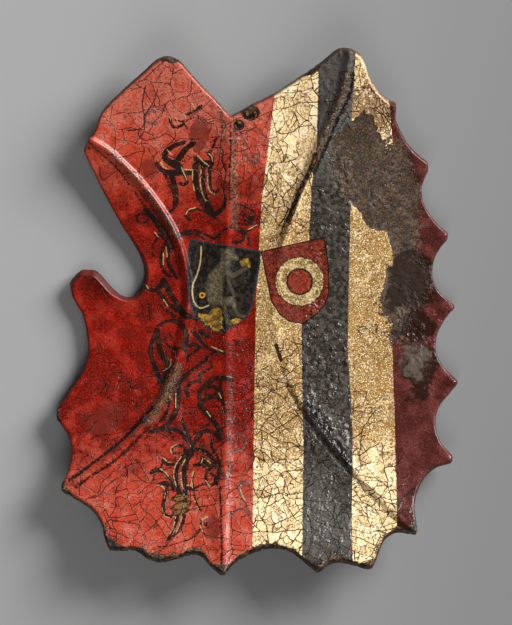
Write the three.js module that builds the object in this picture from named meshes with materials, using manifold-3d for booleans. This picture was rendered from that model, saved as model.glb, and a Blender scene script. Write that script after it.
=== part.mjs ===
// A horseman's targe of the fifteenth century, in millimetres, lying on its back with its painted
// front up: +X is its right as seen from the front, +Y its upper end, +Z the way its front faces.
// It is one wooden board, dished so that both ends stand forward, with carved ribs and a scalloped edge.
import * as THREE from 'three';
import Module from 'manifold-3d';
import { mergeVertices } from 'three/addons/utils/BufferGeometryUtils.js';

// The board
const height = 560;
const width = 426;
const boardThickness = 12;
const bottomCurl = 60; // how far the lower end stands forward of the middle
const topCurl = 50; // and the upper end
const curlPower = 2.3; // the middle is nearly straight and the ends turn up
const sideCurl = 5; // how far each side stands forward
const restDepth = 1.6; // planed off the crown of the back, so that the board lies still

// The ribs: a keel down the middle and one curved rib on each side of it
const keelWidth = 11;
const keelHeight = 5;
const sideRibWidth = 15;
const sideRibHeight = 5.5;
const ribRoot = 5; // how deep a rib's foot goes into the board
const swellHeight = 3.5; // the panels rise to the ribs like shallow flutes
const swellReach = 20;

// The lower lip of the lance notch is turned forward, towards a line in the air just off the lip
const lipRise = 21;
const lipReach = 42;

// How finely the faces are cut
const frontStep = 12;
const backStep = 20;
const edgeStep = 7;
const ribStep = 20;
const searchStep = 8;

// The outline seen from the front, anticlockwise from the peak of the left lobe. Each run is one
// smooth curve from a corner to the next, and its points are in hundredths of the width and of the
// height, measured from the middle.
const outlineRuns = {
  leftShoulder: [
    [-21.7, 48.5], [-24.7, 47.9], [-28.7, 45.2], [-33.0, 42.3], [-38.3, 38.2], [-40.2, 34.6],
    [-42.0, 32.7], [-43.0, 31.1],
  ],
  lanceNotch: [
    [-43.0, 30.5], [-40.7, 26.8], [-37.2, 21.4], [-33.5, 16.3], [-29.5, 10.8], [-28.3, 7.6],
    [-29.5, 4.3], [-32.0, 3.1], [-34.7, 4.1], [-39.0, 7.7], [-41.5, 8.3], [-44.0, 8.1], [-46.7, 6.0],
  ],
  belowThumb: [
    [-46.7, 5.5], [-45.7, 2.4], [-43.2, -1.0], [-42.0, -6.5], [-43.0, -10.7], [-46.5, -15.1],
    [-49.9, -18.7],
  ],
  leftHollow: [[-49.9, -20.3], [-46.8, -23.8], [-46.2, -27.4], [-47.3, -31.0], [-48.7, -33.3]],
  leftFoot: [
    [-48.6, -34.2], [-45.6, -35.3], [-41.2, -37.5], [-38.7, -40.2], [-37.7, -43.4], [-36.5, -45.3],
  ],
  firstToe: [[-36.5, -45.3], [-33.0, -45.3], [-30.0, -45.3], [-27.2, -46.8], [-24.3, -47.7]],
  secondToe: [
    [-24.3, -47.7], [-21.0, -47.1], [-17.0, -46.2], [-14.0, -46.3], [-11.5, -48.3], [-8.9, -50.0],
  ],
  keelToe: [
    [-7.9, -49.9], [-5.9, -47.9], [-1.9, -46.0], [3.1, -44.9], [7.6, -45.3], [11.3, -47.2], [14.6, -49.5],
  ],
  fourthToe: [[15.3, -49.4], [18.3, -47.8], [20.8, -47.5], [24.1, -48.1], [28.0, -49.0]],
  lastToe: [[28.8, -48.5], [30.1, -45.9], [31.6, -43.3], [34.3, -41.9], [37.1, -42.1], [39.8, -42.3]],
  rightFoot: [
    [39.8, -41.5], [39.2, -38.6], [39.2, -36.0], [40.9, -32.4], [44.0, -29.8], [47.9, -28.8],
    [48.7, -28.1],
  ],
  rightHollow1: [[48.6, -27.6], [45.6, -24.9], [44.4, -21.7], [45.1, -18.3], [47.9, -15.5], [50.0, -13.6]],
  rightHollow2: [[50.0, -13.2], [46.4, -10.5], [44.5, -7.5], [44.9, -4.2], [47.1, -1.0], [49.3, 0.7]],
  rightHollow3: [[49.2, 1.2], [45.6, 3.6], [43.7, 6.6], [44.1, 10.0], [45.9, 12.5], [47.6, 13.9]],
  rightHollow4: [[47.5, 15.0], [44.9, 16.7], [41.9, 19.9], [40.9, 23.1], [41.6, 25.4], [42.7, 27.1]],
  rightHollow5: [[42.5, 28.4], [38.6, 30.9], [35.9, 34.0], [34.4, 36.8], [34.7, 38.7]],
  rightShoulder: [
    [34.5, 39.6], [31.5, 40.8], [28.3, 43.9], [26.8, 47.1], [25.6, 48.7], [23.6, 49.7], [21.6, 50.0],
  ],
  rightOfV: [
    [21.6, 50.0], [19.5, 49.6], [15.6, 47.2], [10.6, 44.6], [4.6, 41.6], [-1.4, 39.3], [-6.6, 37.1],
  ],
  leftOfV: [[-6.6, 37.1], [-10.2, 40.3], [-13.5, 42.8], [-17.0, 45.8], [-19.2, 47.7], [-21.7, 48.5]],
};
const lipLine = [[-50.0, 9.3], [-44.5, 10.6], [-39.5, 10.0], [-36.0, 8.1], [-34.2, 6.4]];

// The middle lines of the ribs, in the same hundredths, from above the board to below it
const leftRibLine = [
  [-44.0, 33.4], [-36.2, 30.0], [-26.2, 22.0], [-19.5, 13.3], [-17.0, 3.9], [-18.7, -5.6],
  [-23.2, -16.0], [-32.0, -24.6], [-40.7, -29.9], [-51.0, -34.6],
];
const keelLine = [[-6.3, 39.5], [-7.1, 21.1], [-7.7, 2.0], [-7.9, -20.8], [-8.2, -36.0], [-8.4, -51.5]];
const rightRibLine = [
  [23.5, 51.5], [21.3, 42.0], [17.3, 34.7], [12.8, 26.4], [8.6, 17.6], [5.1, 7.7], [4.6, -3.7],
  [9.1, -14.3], [16.3, -22.9], [27.1, -32.4], [41.8, -43.6],
];

const curveOf = (shares) =>
  new THREE.SplineCurve(shares.map(([x, y]) => new THREE.Vector2((x * width) / 100, (y * height) / 100)));

// Points along a curve, about one step apart
function walk(curve, step) {
  return curve.getSpacedPoints(Math.max(2, Math.round(curve.getLength() / step)));
}

// The distance from a place to a line of points
function distanceTo(points, x, y) {
  let nearest = Infinity;
  for (let i = 1; i < points.length; i++) {
    const from = points[i - 1];
    const along = points[i].clone().sub(from);
    const share = ((x - from.x) * along.x + (y - from.y) * along.y) / along.lengthSq();
    const at = from.clone().addScaledVector(along, THREE.MathUtils.clamp(share, 0, 1));
    nearest = Math.min(nearest, Math.hypot(x - at.x, y - at.y));
  }
  return nearest;
}

const lip = walk(curveOf(lipLine), searchStep);
const ribs = [
  { curve: curveOf(leftRibLine), ribWidth: sideRibWidth, ribHeight: sideRibHeight },
  { curve: curveOf(keelLine), ribWidth: keelWidth, ribHeight: keelHeight },
  { curve: curveOf(rightRibLine), ribWidth: sideRibWidth, ribHeight: sideRibHeight },
];
const ribPaths = ribs.map(({ curve }) => walk(curve, searchStep));

// The dished face that the board is bent to, with the turned lip, before any carving
function dish(x, y) {
  const curl = y < 0 ? bottomCurl : topCurl;
  const bend = curl * Math.abs((2 * y) / height) ** curlPower + sideCurl * ((2 * x) / width) ** 2;
  const fromLip = Math.min(distanceTo(lip, x, y) / lipReach, 1);
  return boardThickness - restDepth + bend + lipRise * (1 - fromLip) ** 2;
}

// The way the dished face looks at a place
function normalAt(x, y) {
  const reach = 1;
  const slopeX = (dish(x + reach, y) - dish(x - reach, y)) / (2 * reach);
  const slopeY = (dish(x, y + reach) - dish(x, y - reach)) / (2 * reach);
  return new THREE.Vector3(-slopeX, -slopeY, 1).normalize();
}

// The back lies the board's thickness behind the dished face, measured square to it
const backFace = (x, y) => dish(x, y) - boardThickness / normalAt(x, y).z;

// The front rises to each rib in a shallow flute
function frontFace(x, y) {
  const fromRib = Math.min(...ribPaths.map((path) => distanceTo(path, x, y)));
  return dish(x, y) + swellHeight * Math.exp(-fromRib / swellReach);
}

const wasm = await Module();
wasm.setup();

function solidOf(positions, index) {
  let geometry = new THREE.BufferGeometry();
  geometry.setAttribute('position', new THREE.Float32BufferAttribute(positions, 3));
  geometry.setIndex(index);
  geometry = mergeVertices(geometry);
  return new wasm.Manifold(
    new wasm.Mesh({
      numProp: 3,
      vertProperties: new Float32Array(geometry.attributes.position.array),
      triVerts: new Uint32Array(geometry.index.array),
    })
  );
}

// A block between two faces given as functions of place, over the outline's box with room to spare
function block(lower, upper, step) {
  const spare = 20;
  const columns = Math.ceil((width + spare) / step);
  const rows = Math.ceil((height + spare) / step);
  const positions = [];
  for (const face of [lower, upper]) {
    for (let row = 0; row <= rows; row++) {
      for (let column = 0; column <= columns; column++) {
        const x = (width + spare) * (column / columns - 0.5);
        const y = (height + spare) * (row / rows - 0.5);
        positions.push(x, y, face(x, y));
      }
    }
  }
  const index = [];
  const quad = (a, b, c, d) => index.push(a, b, c, a, c, d);
  const at = (layer, row, column) => (layer * (rows + 1) + row) * (columns + 1) + column;
  for (let row = 0; row < rows; row++) {
    for (let column = 0; column < columns; column++) {
      quad(at(0, row, column), at(0, row + 1, column), at(0, row + 1, column + 1), at(0, row, column + 1));
      quad(at(1, row, column), at(1, row, column + 1), at(1, row + 1, column + 1), at(1, row + 1, column));
    }
  }
  for (let column = 0; column < columns; column++) {
    quad(at(0, 0, column), at(0, 0, column + 1), at(1, 0, column + 1), at(1, 0, column));
    quad(at(0, rows, column + 1), at(0, rows, column), at(1, rows, column), at(1, rows, column + 1));
  }
  for (let row = 0; row < rows; row++) {
    quad(at(0, row + 1, 0), at(0, row, 0), at(1, row, 0), at(1, row + 1, 0));
    quad(at(0, row, columns), at(0, row + 1, columns), at(1, row + 1, columns), at(1, row, columns));
  }
  return solidOf(positions, index);
}

// Rings of equally many points, one above the other, closed with a cap at each end. Rings run
// anticlockwise seen from the side that the last one faces, and capFaces triangulates one ring.
function stack(rings, capFaces) {
  const size = rings[0].length;
  const positions = rings.flat().flatMap((point) => point.toArray());
  const index = [];
  for (let layer = 0; layer + 1 < rings.length; layer++) {
    for (let i = 0; i < size; i++) {
      const a = layer * size + i;
      const b = layer * size + ((i + 1) % size);
      index.push(a, b, b + size, a, b + size, a + size);
    }
  }
  for (const [a, b, c] of capFaces(rings[0])) index.push(a, c, b);
  const last = (rings.length - 1) * size;
  for (const [a, b, c] of capFaces(rings[rings.length - 1])) index.push(last + a, last + b, last + c);
  return solidOf(positions, index);
}

// The outline as a tall cutter whose walls stand square to the dished face where they cross the board
function outlineCutter() {
  const behind = 4; // how far the square walls run on behind the board
  const before = sideRibHeight + 2; // and before it, past the ribs
  const upright = 2 * (bottomCurl + boardThickness); // and then upright
  const sameCorner = 1; // a run ends and the next one starts at most this far apart
  const edge = Object.values(outlineRuns).flatMap((shares) => walk(curveOf(shares), edgeStep));
  const outline = edge.filter((point, i) => point.distanceTo(edge[(i + 1) % edge.length]) > sameCorner);
  const square = (point, offset) =>
    new THREE.Vector3(point.x, point.y, backFace(point.x, point.y)).addScaledVector(
      normalAt(point.x, point.y),
      offset
    );
  const inner = outline.map((point) => square(point, -behind));
  const outer = outline.map((point) => square(point, boardThickness + before));
  const capFaces = (ring) =>
    THREE.ShapeUtils.triangulateShape(ring.map((point) => new THREE.Vector2(point.x, point.y)), []);
  return stack(
    [
      inner.map((point) => new THREE.Vector3(point.x, point.y, -upright)),
      inner,
      outer,
      outer.map((point) => new THREE.Vector3(point.x, point.y, 2 * upright)),
    ],
    capFaces
  );
}

// A rib with a rounded crest, standing square on the front along its middle line
function rib({ curve, ribWidth, ribHeight }) {
  const [foot, shoulder, crest] = [0.5 * ribWidth, 0.3 * ribWidth, 0.1 * ribWidth];
  const shoulderHeight = 0.66 * ribHeight;
  const section = [
    [-foot, -ribRoot], [foot, -ribRoot], [foot, 0], [shoulder, shoulderHeight], [crest, ribHeight],
    [-crest, ribHeight], [-shoulder, shoulderHeight], [-foot, 0],
  ];
  const steps = Math.round(curve.getLength() / ribStep);
  const rings = [];
  for (let i = 0; i <= steps; i++) {
    const at = curve.getPointAt(i / steps);
    const along = curve.getTangentAt(i / steps);
    const up = normalAt(at.x, at.y);
    const ground = new THREE.Vector3(at.x, at.y, dish(at.x, at.y) + swellHeight);
    const aside = new THREE.Vector3(-along.y, along.x, 0).projectOnPlane(up).normalize();
    rings.push(
      section.map(([across, rise]) =>
        ground.clone().addScaledVector(aside, across).addScaledVector(up, rise)
      )
    );
  }
  const fan = (ring) => ring.slice(2).map((_, i) => [0, i + 1, i + 2]);
  return stack(rings, fan);
}

function shieldBody() {
  const farBelow = () => -height;
  const farAbove = () => height;
  let board = block(farBelow, frontFace, frontStep);
  for (const each of ribs) board = board.add(rib(each));
  const inFrontOfBack = block(backFace, farAbove, backStep);
  const aboveGround = block(() => 0, farAbove, height);
  return board.intersect(inFrontOfBack).intersect(aboveGround).intersect(outlineCutter());
}

function meshOf(name, solid, material) {
  const { vertProperties, triVerts } = solid.getMesh();
  const geometry = new THREE.BufferGeometry();
  geometry.setAttribute('position', new THREE.BufferAttribute(new Float32Array(vertProperties), 3));
  geometry.setIndex(new THREE.BufferAttribute(new Uint32Array(triVerts), 1));
  geometry.computeVertexNormals();
  const mesh = new THREE.Mesh(geometry, material);
  mesh.name = name;
  return mesh;
}

const paintedWood = new THREE.MeshStandardMaterial({ color: '#a01a14', roughness: 0.5, metalness: 0 });
const targe = new THREE.Group();
targe.add(meshOf('shield_body', shieldBody(), paintedWood));

export default targe;
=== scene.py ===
import math

import bpy
import numpy as np
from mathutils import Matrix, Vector, kdtree
from mathutils.geometry import delaunay_2d_cdt


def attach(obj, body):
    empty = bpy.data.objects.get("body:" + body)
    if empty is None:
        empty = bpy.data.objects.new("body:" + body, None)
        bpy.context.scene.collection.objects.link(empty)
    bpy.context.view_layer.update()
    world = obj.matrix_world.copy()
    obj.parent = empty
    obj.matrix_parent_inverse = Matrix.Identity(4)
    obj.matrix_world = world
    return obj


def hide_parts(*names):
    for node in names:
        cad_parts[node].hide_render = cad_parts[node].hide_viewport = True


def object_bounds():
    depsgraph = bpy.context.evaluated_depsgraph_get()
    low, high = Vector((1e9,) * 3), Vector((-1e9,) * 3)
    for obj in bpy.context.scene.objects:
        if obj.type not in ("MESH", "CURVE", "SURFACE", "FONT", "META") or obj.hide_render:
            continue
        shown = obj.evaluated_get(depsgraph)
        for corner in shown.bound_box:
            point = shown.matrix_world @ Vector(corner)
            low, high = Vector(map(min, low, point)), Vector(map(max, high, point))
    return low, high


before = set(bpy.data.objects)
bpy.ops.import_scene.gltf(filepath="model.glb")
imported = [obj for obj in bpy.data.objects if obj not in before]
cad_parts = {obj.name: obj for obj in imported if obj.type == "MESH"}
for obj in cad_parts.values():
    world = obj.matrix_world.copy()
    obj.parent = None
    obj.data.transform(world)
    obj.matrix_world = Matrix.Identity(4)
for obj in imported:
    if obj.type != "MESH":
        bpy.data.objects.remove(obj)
cad_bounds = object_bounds()

# The board
# A horseman's shield is one board of light wood, dished so that both ends stand forward, with a keel
# and two curved ribs carved from it. Its form is the CAD solid's, with the wear of a real edge.
# Lengths are millimetres and places are seen from the front, x to the right and y up.
mm = 0.001
height = 560
width = 426
board_thickness = 12
bottom_curl = 60
top_curl = 50
curl_power = 2.3
side_curl = 5
rest_depth = 1.6
lip_rise = 21
lip_reach = 42
swell_height = 3.5
swell_reach = 20

# Places along the outline and the ribs are in hundredths of the width and of the height
outline_runs = {
    "left shoulder": [(-21.7, 48.5), (-24.7, 47.9), (-28.7, 45.2), (-33.0, 42.3), (-38.3, 38.2),
                      (-40.2, 34.6), (-42.0, 32.7), (-43.0, 31.1)],
    "lance notch": [(-43.0, 30.5), (-40.7, 26.8), (-37.2, 21.4), (-33.5, 16.3), (-29.5, 10.8), (-28.3, 7.6),
                    (-29.5, 4.3), (-32.0, 3.1), (-34.7, 4.1), (-39.0, 7.7), (-41.5, 8.3), (-44.0, 8.1),
                    (-46.7, 6.0)],
    "below the thumb": [(-46.7, 5.5), (-45.7, 2.4), (-43.2, -1.0), (-42.0, -6.5), (-43.0, -10.7),
                        (-46.5, -15.1), (-49.9, -18.7)],
    "left hollow": [(-49.9, -20.3), (-46.8, -23.8), (-46.2, -27.4), (-47.3, -31.0), (-48.7, -33.3)],
    "left foot": [(-48.6, -34.2), (-45.6, -35.3), (-41.2, -37.5), (-38.7, -40.2), (-37.7, -43.4),
                  (-36.5, -45.3)],
    "first toe": [(-36.5, -45.3), (-33.0, -45.3), (-30.0, -45.3), (-27.2, -46.8), (-24.3, -47.7)],
    "second toe": [(-24.3, -47.7), (-21.0, -47.1), (-17.0, -46.2), (-14.0, -46.3), (-11.5, -48.3),
                   (-8.9, -50.0)],
    "keel toe": [(-7.9, -49.9), (-5.9, -47.9), (-1.9, -46.0), (3.1, -44.9), (7.6, -45.3), (11.3, -47.2),
                 (14.6, -49.5)],
    "fourth toe": [(15.3, -49.4), (18.3, -47.8), (20.8, -47.5), (24.1, -48.1), (28.0, -49.0)],
    "last toe": [(28.8, -48.5), (30.1, -45.9), (31.6, -43.3), (34.3, -41.9), (37.1, -42.1), (39.8, -42.3)],
    "right foot": [(39.8, -41.5), (39.2, -38.6), (39.2, -36.0), (40.9, -32.4), (44.0, -29.8),
                   (47.9, -28.8), (48.7, -28.1)],
    "right hollow 1": [(48.6, -27.6), (45.6, -24.9), (44.4, -21.7), (45.1, -18.3), (47.9, -15.5),
                       (50.0, -13.6)],
    "right hollow 2": [(50.0, -13.2), (46.4, -10.5), (44.5, -7.5), (44.9, -4.2), (47.1, -1.0), (49.3, 0.7)],
    "right hollow 3": [(49.2, 1.2), (45.6, 3.6), (43.7, 6.6), (44.1, 10.0), (45.9, 12.5), (47.6, 13.9)],
    "right hollow 4": [(47.5, 15.0), (44.9, 16.7), (41.9, 19.9), (40.9, 23.1), (41.6, 25.4), (42.7, 27.1)],
    "right hollow 5": [(42.5, 28.4), (38.6, 30.9), (35.9, 34.0), (34.4, 36.8), (34.7, 38.7)],
    "right shoulder": [(34.5, 39.6), (31.5, 40.8), (28.3, 43.9), (26.8, 47.1), (25.6, 48.7), (23.6, 49.7),
                       (21.6, 50.0)],
    "right of the V": [(21.6, 50.0), (19.5, 49.6), (15.6, 47.2), (10.6, 44.6), (4.6, 41.6), (-1.4, 39.3),
                       (-6.6, 37.1)],
    "left of the V": [(-6.6, 37.1), (-10.2, 40.3), (-13.5, 42.8), (-17.0, 45.8), (-19.2, 47.7),
                      (-21.7, 48.5)],
}
lip_shares = [(-50.0, 9.3), (-44.5, 10.6), (-39.5, 10.0), (-36.0, 8.1), (-34.2, 6.4)]
left_rib_shares = [(-44.0, 33.4), (-36.2, 30.0), (-26.2, 22.0), (-19.5, 13.3), (-17.0, 3.9), (-18.7, -5.6),
                   (-23.2, -16.0), (-32.0, -24.6), (-40.7, -29.9), (-51.0, -34.6)]
keel_shares = [(-6.3, 39.5), (-7.1, 21.1), (-7.7, 2.0), (-7.9, -20.8), (-8.2, -36.0), (-8.4, -51.5)]
right_rib_shares = [(23.5, 51.5), (21.3, 42.0), (17.3, 34.7), (12.8, 26.4), (8.6, 17.6), (5.1, 7.7),
                    (4.6, -3.7), (9.1, -14.3), (16.3, -22.9), (27.1, -32.4), (41.8, -43.6)]


def in_mm(shares):
    return np.array(shares) * (width, height) / 100


def even(line, step):
    """Points about one step apart along a line."""
    far = np.concatenate([[0], np.cumsum(np.hypot(*np.diff(line, axis=0).T))])
    stops = np.linspace(0, far[-1], max(2, round(far[-1] / step)) + 1)
    return np.column_stack([np.interp(stops, far, line[:, axis]) for axis in (0, 1)])


def smooth(knots, step):
    """Points about one step apart on a smooth curve through the knots."""
    knots = np.array(knots, float)
    ends = np.vstack([knots[:1], knots, knots[-1:]])
    before, start, end, after = (ends[i:len(ends) - 3 + i, None] for i in range(4))
    leaving, arriving = (end - before) / 2, (after - start) / 2
    share = np.linspace(0, 1, 24, endpoint=False)[:, None]
    cubic = 2 * start - 2 * end + leaving + arriving
    square = 3 * end - 3 * start - 2 * leaving - arriving
    fine = cubic * share**3 + square * share**2 + leaving * share + start
    return even(np.vstack([fine.reshape(-1, 2), knots[-1:]]), step)


def beside(places, line):
    """How far each place is from a line, which side it is on (1 for left, -1 for right) and how far along."""
    near = np.full(len(places), np.inf)
    side = np.ones(len(places))
    along = np.zeros(len(places))
    walked = 0
    for start, end in zip(line[:-1], line[1:]):
        step = end - start
        length = math.hypot(*step)
        offset = places - start
        share = np.clip(offset @ step / length**2, 0, 1)
        gap = np.hypot(offset[:, 0] - share * step[0], offset[:, 1] - share * step[1])
        closer = gap < near
        near[closer] = gap[closer]
        side[closer] = np.where(step[0] * offset[closer, 1] > step[1] * offset[closer, 0], 1, -1)
        along[closer] = walked + share[closer] * length
        walked += length
    return near, side, along


def ease(value, start, end):
    """0 before the start, 1 after the end, and smooth between them."""
    share = np.clip((value - start) / (end - start), 0, 1)
    return share * share * (3 - 2 * share)


lip = smooth(in_mm(lip_shares), 8)
left_rib, keel, right_rib = (smooth(in_mm(s), 6) for s in (left_rib_shares, keel_shares, right_rib_shares))


def dish(places):
    """The dished face that the board is bent to, before any carving."""
    x, y = places.T
    curl = np.where(y < 0, bottom_curl, top_curl)
    bend = curl * np.abs(2 * y / height) ** curl_power + side_curl * (2 * x / width) ** 2
    from_lip = np.minimum(beside(places, lip)[0] / lip_reach, 1)
    return board_thickness - rest_depth + bend + lip_rise * (1 - from_lip) ** 2


def normals(places):
    slopes = [(dish(places + step) - dish(places - step)) / 2 for step in ((1, 0), (0, 1))]
    square = np.column_stack([-slopes[0], -slopes[1], np.ones(len(places))])
    return square / np.linalg.norm(square, axis=1, keepdims=True)


def across_from(places, line):
    """How far each place is from a line, less than nothing on its right."""
    near, side, _ = beside(places, line)
    return near * side


def ridge(across, rise, left_reach, right_reach):
    """A rounded ridge that runs out over one reach on its left and another on its right."""
    share = np.abs(across) / np.where(across > 0, left_reach, right_reach)
    return rise * (0.5 + 0.5 * np.cos(math.pi * np.minimum(share, 1)))


def groove(across, at, half_width, depth):
    return -depth * np.maximum(0, 1 - np.abs(across - at) / half_width)


def carved(places):
    """The front of the board: the dished face with its flutes and ribs."""
    y = places[:, 1]
    from_left, from_keel, from_right = (across_from(places, line) for line in (left_rib, keel, right_rib))
    nearest = np.min(np.abs([from_left, from_keel, from_right]), axis=0)
    rise = swell_height * np.exp(-nearest / swell_reach)
    # The lower half of the left rib is flatter, and a chased line follows each side of it
    lower = ease(-y, -60, 20)
    rise += ridge(from_left, 3.6 - 0.2 * lower, 5 + 3 * lower, 9)
    rise += groove(from_left, -8.3, 2, 1.1) * (1 - lower)
    rise += (groove(from_left, -8, 1.2, 0.9) + groove(from_left, 9.5, 1.6, 0.8)) * lower
    # The keel is low and runs out gently on both sides, with a line cut along its left
    rise += ridge(from_keel, 1.2, 11, 14) * (1 - 0.4 * ease(-y, 150, 250)) + groove(from_keel, -4, 1.2, 0.4)
    # The right rib dies away in its middle, and below that it is a step, steep on its lower left
    strength = 0.1 + 0.9 * ease(np.abs(y + 5), 50, 100)
    low = ease(-y, 10, 60)
    rise += strength * ridge(from_right, 5 - 2.4 * low, 7 + 23 * low, 7 - 2.6 * low)
    rise += strength * (groove(from_right, -6, 3, 1.5) * low + groove(from_right, 6.5, 1.6, 1) * (1 - low))
    return dish(places) + rise


# The edge of the board
# The saw left scallops with sharp points, and five centuries of knocks rounded and nicked them. The
# lower points have lost their hide, and the bare wood there is split and dark.
edge_step = 1.5
edge_round = 2.5
tip_rounding = 3
worn_points = [(-212, -108), (-205, -188), (-155, -250), (-104, -266), (-36, -278), (63, -277), (119, -273),
               (167, -236), (-91, 272), (59, 256)]
worn_reach = 11
corners = np.vstack([smooth(in_mm(run), edge_step)[:-1] for run in outline_runs.values()])
outline = even(np.vstack([corners, corners[:1]]), edge_step)[:-1]
outline = sum(np.roll(outline, shift, axis=0) for shift in range(-(tip_rounding // 2), tip_rounding // 2 + 1))
outline = outline / tip_rounding


def rough(places, size, seed):
    """Smooth chance heights from -1 to 1 that change over about that many millimetres."""
    tile = 256
    grid = np.random.default_rng(seed).uniform(-1, 1, (tile, tile))
    cell = places / size
    corner = np.floor(cell).astype(int)
    share = cell - corner
    share = share * share * (3 - 2 * share)
    x, y = share.T
    left, low = corner.T % tile
    right, high = (left + 1) % tile, (low + 1) % tile
    return ((grid[left, low] * (1 - x) + grid[right, low] * x) * (1 - y)
            + (grid[left, high] * (1 - x) + grid[right, high] * x) * y)


def inward_of(ring):
    """The way into the board at each point of a ring that runs anticlockwise."""
    along = np.roll(ring, -1, axis=0) - np.roll(ring, 1, axis=0)
    inward = np.column_stack([-along[:, 1], along[:, 0]])
    return inward / np.linalg.norm(inward, axis=1, keepdims=True)


def wear_at(places):
    """0 where the edge is sound, 1 at the points that are worn to the wood."""
    near = np.min([np.hypot(*(places - point).T) for point in np.array(worn_points)], axis=0)
    return 1 - ease(near, 0.4 * worn_reach, 1.5 * worn_reach)


worn = wear_at(outline)
low_edge = ease(-outline[:, 1], 180, 250)
nicks = 0.15 * rough(outline, 5, 11) + np.maximum(0, rough(outline, 3, 12) - 0.3) * (0.5 + 1.2 * low_edge)
nicks = np.maximum(0, nicks + worn * (1.8 * np.abs(rough(outline, 3.5, 13)) - 0.6))
back_edge = outline + inward_of(outline) * nicks[:, None]
front_edge = back_edge + board_thickness * normals(back_edge)[:, :2]

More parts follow.
